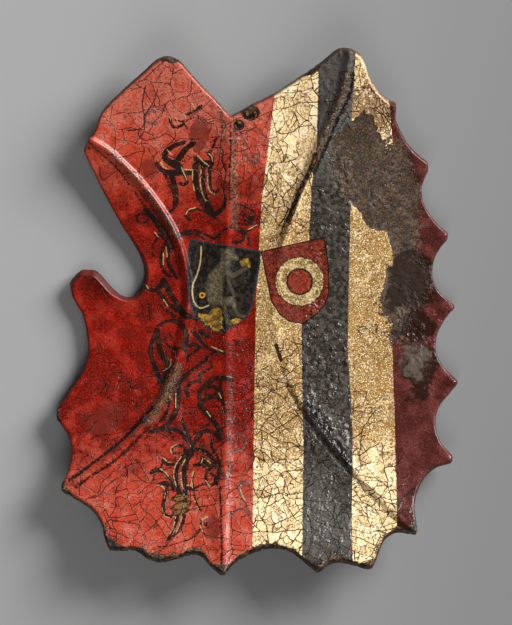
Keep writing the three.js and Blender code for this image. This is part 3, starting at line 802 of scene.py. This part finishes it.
def outside_blots(places, ovals):
    """About how far each place is outside the nearest of some ovals."""
    nearest = np.full(len(places), 99.0)
    for middle_x, middle_y, half_width, half_height, turn in ovals:
        cos, sin = math.cos(math.radians(turn)), math.sin(math.radians(turn))
        across, up = places[:, 0] - middle_x, places[:, 1] - middle_y
        reach = np.hypot((across * cos + up * sin) / half_width, (up * cos - across * sin) / half_height)
        nearest = np.minimum(nearest, (reach - 1) * min(half_width, half_height))
    return nearest


facts = {name: outside_blots(flat, ovals) for name, ovals in blots.items()}
facts["spot"] = np.minimum(facts["spot"], beside(flat, split)[0] - 2.0 - 0.7 * rough(flat, 4, 44))

# The relief of the gesso, from the slow waves of the board down to the wrinkles of the hide
relief = 0.7 * rough(flat, 85, 21) + 0.35 * rough(flat, 23, 22) + 0.12 * rough(flat, 7, 23)
relief += wrinkled * 0.45 * (1 - 2 * np.abs(rough(flat, 7, 24) + 0.4 * rough(flat, 3.5, 25)))
relief += 0.15 * (1 - wrinkled) * rough(flat, 4, 26) * ease(bare, -0.5, 0.5)
in_crack = np.maximum(0, 1 - np.maximum(crack, 0) / 0.7)
painted_gesso = (0.25 + 0.75 * crazed) * (1 - ease(bare, -0.8, 0.8))
relief += painted_gesso * (np.clip(tilted, -0.3, 0.3) + flake_curl * (np.exp(-(crack / 2) ** 2) + 0.6 * tone))
relief -= crack_depth * in_crack + 0.5 * ease(-facts["spot"], -1, 0.5)
for half, line in break_lines:
    relief -= 0.5 * np.minimum(half, 1) * (1 - ease(beside(flat, line)[0], 0.5 * half, half + 0.8))
relief -= gesso_depth * ease(bare, -0.8, 0.8)
# The points on the right run inward as low folds
folds = [[(178, 146), (150, 150)], [(202, 78), (172, 72)], [(210, 1), (178, 8)], [(212, -74), (178, -62)],
         [(206, -157), (176, -138)], [(149, 221), (140, 200)]]
for fold in folds:
    near, _, along = beside(flat, np.array(fold, float))
    relief += 2.2 * np.exp(-(near / 6) ** 2) * (1 - ease(along, 0, 30))
damage = wear_at(flat)
relief -= damage * (0.4 + 0.9 * np.abs(rough(flat, 3, 27)))
inside_edge = np.minimum(rim, edge_round)
rounding = edge_round - np.sqrt(edge_round**2 - (edge_round - inside_edge) ** 2)
highest = cad_bounds[1][2] / mm - 0.2
front = np.column_stack([flat, np.minimum(carved(flat) + relief * ease(rim, 0, 4) - rounding, highest)])

# The wall of the edge, from the front down to the back, with its back corner rounded too
wall_stops = [0.25, 0.5, 0.75, 1.0]
back_round = 1.8
back_height = np.maximum(0, dish(back_edge) - board_thickness / normals(back_edge)[:, 2])
foot_of_wall = np.column_stack([back_edge, back_height])
inward = np.column_stack([inward_of(back_edge), np.zeros(len(back_edge))])
around = np.arange(len(back_edge)) * edge_step
wall = []
for stop in wall_stops:
    down = np.full(len(around), stop * board_thickness)
    dent = 0.35 * np.abs(rough(np.column_stack([around, down]), 3, 41))
    corner = back_round * max(0, (stop - 0.6) / 0.4) ** 2
    row = front[ring] + (foot_of_wall - front[ring]) * stop + inward * (corner + dent * (1 + worn))[:, None]
    row[:, 2] = np.maximum(row[:, 2], 0)
    wall.append(row)
parts = [front] + wall
starts = np.cumsum([0] + [len(part) for part in parts])
rings = [ring] + [starts[i + 1] + np.arange(len(ring)) for i in range(len(wall))]
faces = [tuple(face) for face in front_faces]
for upper, lower in zip(rings[:-1], rings[1:]):
    faces += list(zip(upper, lower, np.roll(lower, -1), np.roll(upper, -1)))

# The back, which is coarser, because it is plain
back_step = 6
back_rim = wall[-1][:, :2]
back_grid = grid_over((-width / 2, -height / 2), (width / 2, height / 2), back_step)
clear = how_near(back_grid, tree_of(back_rim)) > 0.6 * back_step
back_grid = back_grid[within(back_grid, back_rim) & clear]
back_flat, _, back_faces, back_origins, _, _ = delaunay_2d_cdt(
    [Vector(point) for point in np.vstack([back_rim, back_grid])], [], [list(range(len(back_rim)))], 1, 0.01)
back_flat = np.array([point[:] for point in back_flat])
hollow = dish(back_flat) - board_thickness / normals(back_flat)[:, 2]
hollow += 0.5 + 0.4 * rough(back_flat, 30, 42) + 0.15 * rough(back_flat, 9, 43)
back = np.column_stack([back_flat, np.maximum(hollow, 0)])
shared = starts[-1] + np.arange(len(back))
for new, olds in enumerate(back_origins):
    if olds and min(olds) < len(back_rim):
        shared[new] = rings[-1][min(olds)]
front_count = len(faces)
faces += [tuple(shared[list(face)][::-1]) for face in back_faces]
vertices = np.vstack(parts + [back])
shape = bpy.data.meshes.new("shield")
shape.from_pydata((vertices * mm).tolist(), [], [[int(corner) for corner in face] for face in faces])
shape.shade_smooth()

# How far in from the edge the wood is bare, less than nothing where paint turns over the edge
bare_limit = -5 + 7.4 * ease(-y, 170, 235) + 4.5 * ease(y, 225, 262) * ease(-x, -60, -40) + 9 * damage
bare_limit += 2.5 * ease(-y, 170, 235) * rough(flat, 10, 28)
bare_limit -= 25 * np.exp(-((x + 160) ** 2 + (y - 35) ** 2) / 45**2)


def carried(values):
    """Values on the front, carried down the wall from the front's edge."""
    return np.concatenate([values] + [values[ring]] * len(wall) + [np.zeros(len(back))])


facts.update(stripes)
facts.update({
    "to_bare": bare_limit - rim,
    "rim": rim,
    "crack": crack,
    "tone": tone,
    "bleach_and_sheen": bleach_and_sheen,
    "ink": brushed(flat, stroke_lines),
    "faded_ink": brushed(flat, faded_lines),
    "light_line": brushed(flat, light_lines),
    "bare": bare,
    "pale": pale,
    "rubbed": marked(flat, rubs),
    "grime_and_shade": marked(flat, grime_and_shade_lines),
    "left_arms": outside_of(flat, left_arms),
    "right_arms": outside_of(flat, right_arms),
    "ring": np.hypot(*(flat - ring_middle).T),
    "beast": outside_limbs(flat, beast_limbs),
    "gold": outside_limbs(flat, gold_shapes),
    "tail": beside(flat, beast_tail)[0],
    "tail_ring": np.abs(np.hypot(*(flat - tail_ring).T) - 2.4),
    "wrinkled": wrinkled,
    "stained": np.exp(-((x - 121) ** 2 + (y - 213) ** 2) / 30**2),
})
facts = {name: carried(values) for name, values in facts.items()}
down_wall = np.concatenate([np.zeros(len(flat))]
                           + [np.full(len(ring), stop * board_thickness) for stop in wall_stops]
                           + [np.full(len(back), board_thickness)])
facts["rim"] -= down_wall
facts["to_bare"] += down_wall
for name, values in facts.items():
    shape.attributes.new(name, "FLOAT", "POINT").data.foreach_set("value", values.astype(np.float32))


# The painted front
# Oil paint on white gesso over hide: vermilion, cream, black and a dark murrey red, each thin enough
# to show the cracks, with a soft gloss that the rubbed leather and the bare wood don't have.
def linear(code):
    """An sRGB colour, written in hex, as the linear colour that a shader takes."""
    parts = [int(code[i:i + 2], 16) / 255 for i in (1, 3, 5)]
    return [p / 12.92 if p <= 0.04045 else ((p + 0.055) / 1.055) ** 2.4 for p in parts] + [1]


def add(kind, sockets, **settings):
    """Adds a node to the material at hand, with its settings, values and links, and returns its output."""
    node = tree.nodes.new("ShaderNode" + kind)
    for name, value in settings.items():
        setattr(node, name, value)
    live = [socket for socket in node.inputs if socket.enabled]
    for name, value in sockets.items():
        socket = live[name] if isinstance(name, int) else next(s for s in live if s.name == name)
        if isinstance(value, bpy.types.NodeSocket):
            tree.links.new(value, socket)
        else:
            socket.default_value = value
    return next((socket for socket in node.outputs if socket.enabled), None)


def new_material(name):
    """A material with nothing in it yet."""
    material = bpy.data.materials.new(name)
    material.use_nodes = True
    material.node_tree.nodes.clear()
    return material


def placed(name, data):
    """A mesh, light or camera as an object in the scene."""
    thing = bpy.data.objects.new(name, data)
    bpy.context.scene.collection.objects.link(thing)
    return thing


def where(*limits):
    """A mask, 1 where every named reading is past its end and 0 where one is short of its start.

    A limit may go on with the noises that fray it, each with the most that it shifts the reading."""
    mask = None
    for name, start, end, *frays in limits:
        reading = read[name]
        for noise, most in frays:
            reading = add("Math", {0: read[noise], 1: 2 * most, 2: reading}, operation="MULTIPLY_ADD")
        step = add("MapRange", {"Value": reading, "From Min": start, "From Max": end},
                   interpolation_type="SMOOTHSTEP")
        mask = add("Math", {0: mask, 1: step}, operation="MULTIPLY") if mask else step
    return mask


def layered(colour, layers):
    """Lays colours over one another, each with its strength and the mask of where it lies."""
    for top, strength, mask in layers:
        factor = add("Math", {0: mask, 1: strength}, operation="MULTIPLY")
        colours = {"A": colour, "B": top}
        colours = {key: linear(value) if isinstance(value, str) else value for key, value in colours.items()}
        colour = add("Mix", {"Factor": factor, **colours}, data_type="RGBA")
    return colour


def per(size):
    """The texture scale that makes a feature about that many millimetres wide."""
    return 1 / (size * mm)


paint = new_material("oil paint on gesso over hide")
tree = paint.node_tree
place = add("TexCoord", {}).node.outputs["Object"]
read = {name: add("Attribute", {}, attribute_name=name).node.outputs["Fac"] for name in facts}
# Sizes in millimetres, from hand-wide clouds in the red down to the weave of the cloth and the grain of
# the pigment. Those last are finer on the real board, and are drawn as coarse as they need to show.
for name, size, detail in (("wide", 60, 3), ("patch", 18, 3), ("mottle", 5, 3), ("fold", 9, 2),
                           ("speck", 2.0, 2), ("grain", 1.25, 1), ("fleck", 0.95, 0)):
    read[name] = add("TexNoise", {"Vector": place, "Scale": per(size), "Detail": detail}, normalize=False)
sway = read["mottle"].node.outputs["Color"]
bent = add("VectorMath", {0: sway, 1: [3.5 * mm] * 3, 2: place}, operation="MULTIPLY_ADD")
for name, size in (("dense_cell", 5), ("small_cell", 6.5)):
    read[name] = add("TexVoronoi", {"Vector": bent, "Scale": per(size)}, feature="DISTANCE_TO_EDGE")
drawn_out = add("VectorMath", {0: place, 1: [per(0.8), per(7), per(7)]}, operation="MULTIPLY")
read["thread"] = add("TexNoise", {"Vector": drawn_out, "Scale": 1.0, "Detail": 2}, normalize=False)

# Vermilion, dark where it is thick, pink towards both ends where it is partly bleached and partly painted
# sheen, with bright grains in it
red = layered("#530C03", [
    ("#6D0F03", 1, where(("wide", -0.2, 0.2), ("patch", -0.3, 0.2))),
    ("#8B1304", 0.7, where(("patch", 0.0, 0.35))),
    ("#B0452F", 0.9, where(("bleach_and_sheen", 0.0, 1.0, ("patch", 0.2), ("mottle", 0.15)))),
    ("#BE6D5A", 0.7, where(("bleach_and_sheen", 0.9, 1.4, ("patch", 0.3), ("mottle", 0.15)))),
    ("#390C04", 0.5, where(("speck", 0.12, 0.4))),
    ("#BF210F", 0.6, where(("grain", 0.1, 0.4))),
    ("#440F06", 0.4, where(("mottle", 0.15, 0.5))),
    ("#C7765E", 0.18, where(("tone", 0.2, 1.0), ("bleach_and_sheen", 0.2, 0.9))),
])
# Lead white and ochre, pale towards the ends, partly with painted light, and brown and threadbare along the
# middle, partly with painted shade
cream = layered("#936F2C", [
    ("#EECD92", 1, where(("bleach_and_sheen", -0.05, 0.7, ("patch", 0.3), ("mottle", 0.3), ("tone", 0.06)))),
    ("#F8E3BA", 0.8, where(("tone", 0.1, 0.9, ("mottle", 0.3)), ("bleach_and_sheen", 0.1, 0.6))),
    ("#946428", 0.75, where(("mottle", 0.05, 0.4, ("thread", 0.15)), ("bleach_and_sheen", 1.3, 0.3))),
    ("#8A5E26", 0.65, where(("thread", 0.0, 0.35), ("tone", 0.6, -0.2))),
    ("#FFF2D2", 0.65, where(("grain", 0.1, 0.4))),
    ("#553616", 0.45, where(("speck", 0.25, 0.5), ("bleach_and_sheen", 1.2, 0.3))),
    ("#7A5030", 0.8, where(("stained", 0.2, 0.8, ("mottle", 0.5), ("speck", 0.3)))),
])
# Soot black, lighter grey towards the ends with painted sheen
black = layered("#25211D", [
    ("#443E36", 1, where(("mottle", -0.25, 0.25))),
    ("#655D53", 0.45, where(("grain", 0.15, 0.45))),
    ("#63605B", 0.6, where(("bleach_and_sheen", 0.3, 1.0), ("wide", -0.4, 0.2))),
    ("#110F0D", 0.3, where(("speck", 0.15, 0.45))),
])
# A dark lake red
murrey = layered("#3E1815", [
    ("#5C2824", 1, where(("patch", -0.4, 0.5))),
    ("#230F0C", 0.6, where(("speck", 0.1, 0.45))),
    ("#7F443B", 0.35, where(("grain", 0.15, 0.45))),
])
stripe_fray = ("speck", 0.3)
open_here = ("patch", -0.35, 0.1)
colour = layered(red, [
    (cream, 1, where(("from_red", -0.2, 0.2, stripe_fray))),
    (black, 1, where(("from_cream", -0.2, 0.2, stripe_fray))),
    (cream, 1, where(("from_black", -0.2, 0.2, stripe_fray))),
    (murrey, 1, where(("from_pale", -0.2, 0.2, stripe_fray))),
])

# Fine cracks of the pale stripes and of the red
pale_crack = where(("pale", -0.3, 0.3), ("dense_cell", 0.1, 0.02), ("speck", -0.25, 0.0), open_here)
small_crack = where(("pale", 0.3, -0.3), ("small_cell", 0.06, 0.01), ("speck", -0.2, 0.1),
                    ("patch", -0.1, 0.3))
# The scrollwork
inked = where(("ink", 0.3, -0.1, ("speck", 0.4)))
ink_body = where(("ink", -0.6, -1.1, ("speck", 0.3)), ("patch", -0.3, 0.1))
# The small shields
in_left = where(("left_arms", 0.2, -0.2, ("speck", 0.3)))
in_right = where(("right_arms", 0.2, -0.2, ("speck", 0.3)))
on_left = ("left_arms", -0.3, -0.8)
left_ground = layered("#11100D", [("#271E17", 1, where(("mottle", -0.1, 0.3)))])
gilt = layered("#654D1D", [
    ("#987228", 1, where(("mottle", -0.2, 0.2))),
    ("#35270F", 0.7, where(("speck", 0.2, 0.45))),
])
fur = layered("#2E2A20", [
    ("#40392C", 1, where(("beast", -0.5, -2.5, ("speck", 1.0)))),
    ("#736549", 0.7, where(("beast", -1.0, -5.0, ("mottle", 2.5)), ("speck", -0.2, 0.3))),
])
flecks = [("#A8553F", 0.45, where(("grain", 0.1, 0.4))), ("#2A0E08", 0.6, where(("speck", 0.12, 0.4)))]
field = layered("#591B0F", [("#762817", 1, where(("mottle", -0.2, 0.2)))] + flecks)
bone = layered("#806638", [
    ("#B89C69", 1, where(("mottle", -0.25, 0.2))),
    ("#E6D3A3", 0.55, where(("grain", 0.1, 0.4))),
    ("#38291A", 0.5, where(("speck", 0.15, 0.4))),
    ("#4A4234", 0.6, where(("speck", 0.0, 0.4), ("ring", 19, 25))),
])
ring_fray = ("speck", 0.4)
colour = layered(colour, [
    ("#442811", 0.8, pale_crack),
    ("#320F09", 0.6, small_crack),
    ("#621D12", 0.75, where(("mended", 1.2, -1.2, ("mottle", 1.2)))),
    ("#140F0C", 0.97, inked),
    (layered("#231009", [("#391F14", 1, where(("mottle", -0.2, 0.2)))]), 1, ink_body),
    ("#443532", 0.8, where(("faded_ink", 0.3, -0.1, ("speck", 0.5)))),
    ("#816258", 0.6, where(("faded_ink", -0.5, -1.0, ("speck", 0.5)))),
    ("#AE9863", 0.85, where(("light_line", 0.3, 0.0, ("speck", 0.25)), ("patch", -0.5, -0.3))),
    ("#18120F", 0.9, where(("clasp", 1.2, 0.6, ("speck", 0.3)))),
    ("#745327", 1, where(("clasp", 0.0, -0.6, ("speck", 0.8)))),
    (left_ground, 1, in_left),
    ("#1C2E34", 0.8, where(("left_arms", -2.2, -1.2), ("left_arms", 0.4, 0.0))),
    (gilt, 1, where(("gold", 0.4, -0.2, ("speck", 0.8)), on_left)),
    ("#9B8862", 1, where(("tail", 1.0, 0.5, ("speck", 0.2)), on_left)),
    ("#A27225", 1, where(("tail_ring", 1.1, 0.6), on_left)),
    ("#0E0C09", 0.8, where(("beast", 1.0, 0.4), on_left)),
    (fur, 1, where(("beast", 0.3, -0.2, ("speck", 0.4)), on_left)),
    (field, 1, in_right),
    ("#191311", 1, where(("ring", ring_radius + 0.9, ring_radius + 0.4, ring_fray), ("right_arms", 0, -0.5))),
    (bone, 1, where(("ring", ring_radius, ring_radius - 0.5, ring_fray))),
    ("#191311", 1, where(("ring", disc_radius + 2.0, disc_radius + 1.2, ring_fray))),
    (layered("#7B2A18", flecks), 1, where(("ring", disc_radius, disc_radius - 0.5, ring_fray))),
    ("#1D100A", 0.75, where(("right_arms", 0.2, -0.2), ("dense_cell", 0.08, 0.015), ("speck", -0.3, 0.0))),
    ("#16100D", 1, where(("right_arms", -1.3, -0.8), ("right_arms", 0.4, 0.0))),
])

# Wide cracks with dirt in them, grime and painted shade in the grooves along the ribs, and paint rubbed from
# their crests
cracked = where(("crack", 0.27, 0.0, ("patch", 0.15), ("speck", 0.15)))
curled = where(("crack", 1.3, 0.2))
freckles = layered("#3B2E27", [
    ("#8C7962", 0.7, where(("grain", 0.1, 0.35))),
    ("#1C1511", 0.8, where(("speck", 0.05, 0.3))),
    ("#70441F", 0.6, where(("mottle", 0.1, 0.3))),
])
leather = layered("#352E28", [
    ("#50463C", 1, where(("mottle", -0.2, 0.25), ("patch", -0.4, 0.2))),
    ("#9B6B35", 0.7, where(("fleck", 0.25, 0.4))),
    ("#130F0D", 0.7, where(("speck", 0.12, 0.35))),
])
wood = layered("#150D09", [
    ("#3B281C", 1, where(("mottle", -0.15, 0.2))),
    ("#8A6840", 0.75, where(("speck", 0.08, 0.35), ("mottle", -0.15, 0.1))),
    ("#0C0705", 0.8, where(("grain", 0.1, 0.35))),
])
leathery = where(("bare", -0.15, 0.25, ("mottle", 0.5), ("speck", 0.5)))
wooden = where(("to_bare", -0.4, 0.4, ("mottle", 1.6), ("speck", 1.2)))
# The rim and the wall of the edge darker and duller: partly wear, partly painted shade along the edge
worn_and_shaded_rim = where(("rim", 1.6, -0.4, ("speck", 1.0), ("mottle", 0.8)))
rubbed = where(("rubbed", 0.15, 0.75, ("speck", 0.5), ("grain", 0.35)))
colour = layered(colour, [
    ("#1E0F09", 0.85, cracked),
    ("#341D0D", 0.8, where(("crack", 0.29, 0.0, ("patch", 0.15), ("speck", 0.2)), ("pale", -0.3, 0.3))),
    (freckles, 0.9, rubbed),
    ("#110A07", 0.92, where(("grime_and_shade", 0.1, 0.7, ("speck", 0.35), ("mottle", 0.2)))),
    ("#35180D", 0.6, worn_and_shaded_rim),
    (leather, 1, leathery),
    ("#221109", 0.92, where(("dark_patch", 3, -3, ("patch", 6), ("mottle", 3), ("speck", 2)))),
    ("#5E544B", 0.75, where(("grey_and_sheen_patch", 3, -8, ("patch", 6), ("mottle", 4), ("speck", 2)))),
    ("#110C09", 0.9, where(("spot", 1.2, 0.4, ("speck", 0.5)))),
    (wood, 1, where(("spot", 0.0, -0.7, ("speck", 0.5)))),
    (wood, 1, wooden),
])
rough_finish = add("Math", {0: leathery, 1: wooden}, operation="MAXIMUM")
rough_finish = add("Math", {0: rough_finish, 1: worn_and_shaded_rim}, operation="MAXIMUM")
roughness = add("MapRange", {"Value": rough_finish, "To Min": 0.27, "To Max": 0.55})
roughness = add("Math", {0: read["mottle"], 1: 0.1, 2: roughness}, operation="MULTIPLY_ADD")

# Heights in millimetres, for the bump
heights = [(read["speck"], 0.03), (read["grain"], 0.012), (curled, 0.08), (cracked, -0.3),
           (pale_crack, -0.12), (small_crack, -0.1), (leathery, -0.2), (inked, 0.05)]
folded = add("Math", {0: where(("patch", -0.3, 0.3)), 1: read["wrinkled"]}, operation="MULTIPLY")
for name, rise in (("fold", 1.6), ("mottle", 0.4)):
    valley = add("Math", {0: read[name]}, operation="ABSOLUTE")
    heights.append((add("Math", {0: valley, 1: folded}, operation="MULTIPLY"), rise))
level = 0.0
for part, rise in heights:
    level = add("Math", {0: part, 1: rise, 2: level}, operation="MULTIPLY_ADD")
bump = add("Bump", {"Height": level, "Distance": mm, "Strength": 1.0})
shader = add("BsdfPrincipled", {"Base Color": colour, "Roughness": roughness, "Normal": bump, "IOR": 1.4})
add("OutputMaterial", {"Surface": shader})

# The back
# Hide over the wood, glued down and never painted: brown, dry and a little darker where it creased.
hide = new_material("undyed hide")
tree = hide.node_tree
place = add("TexCoord", {}).node.outputs["Object"]
read = {name: add("TexNoise", {"Vector": place, "Scale": per(size), "Detail": 4}, normalize=False)
        for name, size in (("blotch", 45), ("pore", 2))}
read["crease"] = add("TexVoronoi", {"Vector": place, "Scale": per(7)}, feature="DISTANCE_TO_EDGE")
creased = where(("crease", 0.1, 0.0))
skin = layered("#4A3524", [
    ("#7A5A3C", 1, where(("blotch", -0.3, 0.3))),
    ("#2E2016", 0.6, where(("pore", 0.1, 0.4))),
])
level = add("Math", {0: read["pore"], 1: 0.15}, operation="MULTIPLY")
level = add("Math", {0: creased, 1: -0.2, 2: level}, operation="MULTIPLY_ADD")
bump = add("Bump", {"Height": level, "Distance": mm, "Strength": 1.0})
shader = add("BsdfPrincipled", {"Base Color": skin, "Roughness": 0.75, "Normal": bump})
add("OutputMaterial", {"Surface": shader})

shape.materials.append(paint)
shape.materials.append(hide)
material_of = np.zeros(len(faces), np.int32)
material_of[front_count:] = 1
shape.polygons.foreach_set("material_index", material_of)
shield = placed("painted_shield", shape)
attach(shield, "root")
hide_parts("shield_body")

# The floor
# Pale grey studio paper, with painted shade that makes it a little darker towards its right.
floor_side = 6
paper = new_material("grey studio paper")
tree = paper.node_tree
place = add("TexCoord", {}).node.outputs["Object"]
read = {"across": add("SeparateXYZ", {"Vector": place})}
grey = layered("#979797", [("#6B6B6B", 1, where(("across", -0.45, 0.45)))])
add("OutputMaterial", {"Surface": add("BsdfPrincipled", {"Base Color": grey, "Roughness": 0.9})})
sheet = bpy.data.meshes.new("floor")
half_side = floor_side / 2
sheet.from_pydata([(-half_side, -half_side, 0), (half_side, -half_side, 0), (half_side, half_side, 0),
                   (-half_side, half_side, 0)], [], [(0, 1, 2, 3)])
sheet.materials.append(paper)
floor = placed("floor", sheet)

# Light and camera
# One large soft light from the upper right, a weaker one from below that leaves no highlights, and the
# camera looking straight down through a long lens.
aim_height = 0.04
# Where each lamp is and how wide, in metres, and its power in watts
lamps = {
    "key": ((2.9, 2.1, 2.0), 2.2, 385),
    "fill": ((0.2, -2.7, 3.2), 3.0, 88),
}
for name, (spot, size, power) in lamps.items():
    lamp = bpy.data.lights.new(name, "AREA")
    lamp.size = size
    lamp.energy = power
    holder = placed(name, lamp)
    holder.location = spot
    holder.visible_glossy = name == "key"
    holder.rotation_euler = (Vector((0, 0, aim_height)) - Vector(spot)).to_track_quat("-Z", "Y").to_euler()
world = bpy.data.worlds.new("studio")
world.use_nodes = True
world.node_tree.nodes["Background"].inputs["Color"].default_value = linear("#FFFFFF")
world.node_tree.nodes["Background"].inputs["Strength"].default_value = 0.09
bpy.context.scene.world = world

photo_height = 625
object_pixels = 531
camera_height = 12
# The shield is a little off the middle of the picture
camera_place = (-0.0011, -0.0007)
view_height = photo_height * height * mm / object_pixels
eye = bpy.data.cameras.new("camera")
eye.sensor_fit = "VERTICAL"
eye.sensor_height = 24
eye.lens = eye.sensor_height * (camera_height - aim_height) / view_height
camera = placed("camera", eye)
camera.location = (*camera_place, camera_height)
bpy.context.scene.camera = camera
bpy.context.scene.view_settings.view_transform = "Standard"
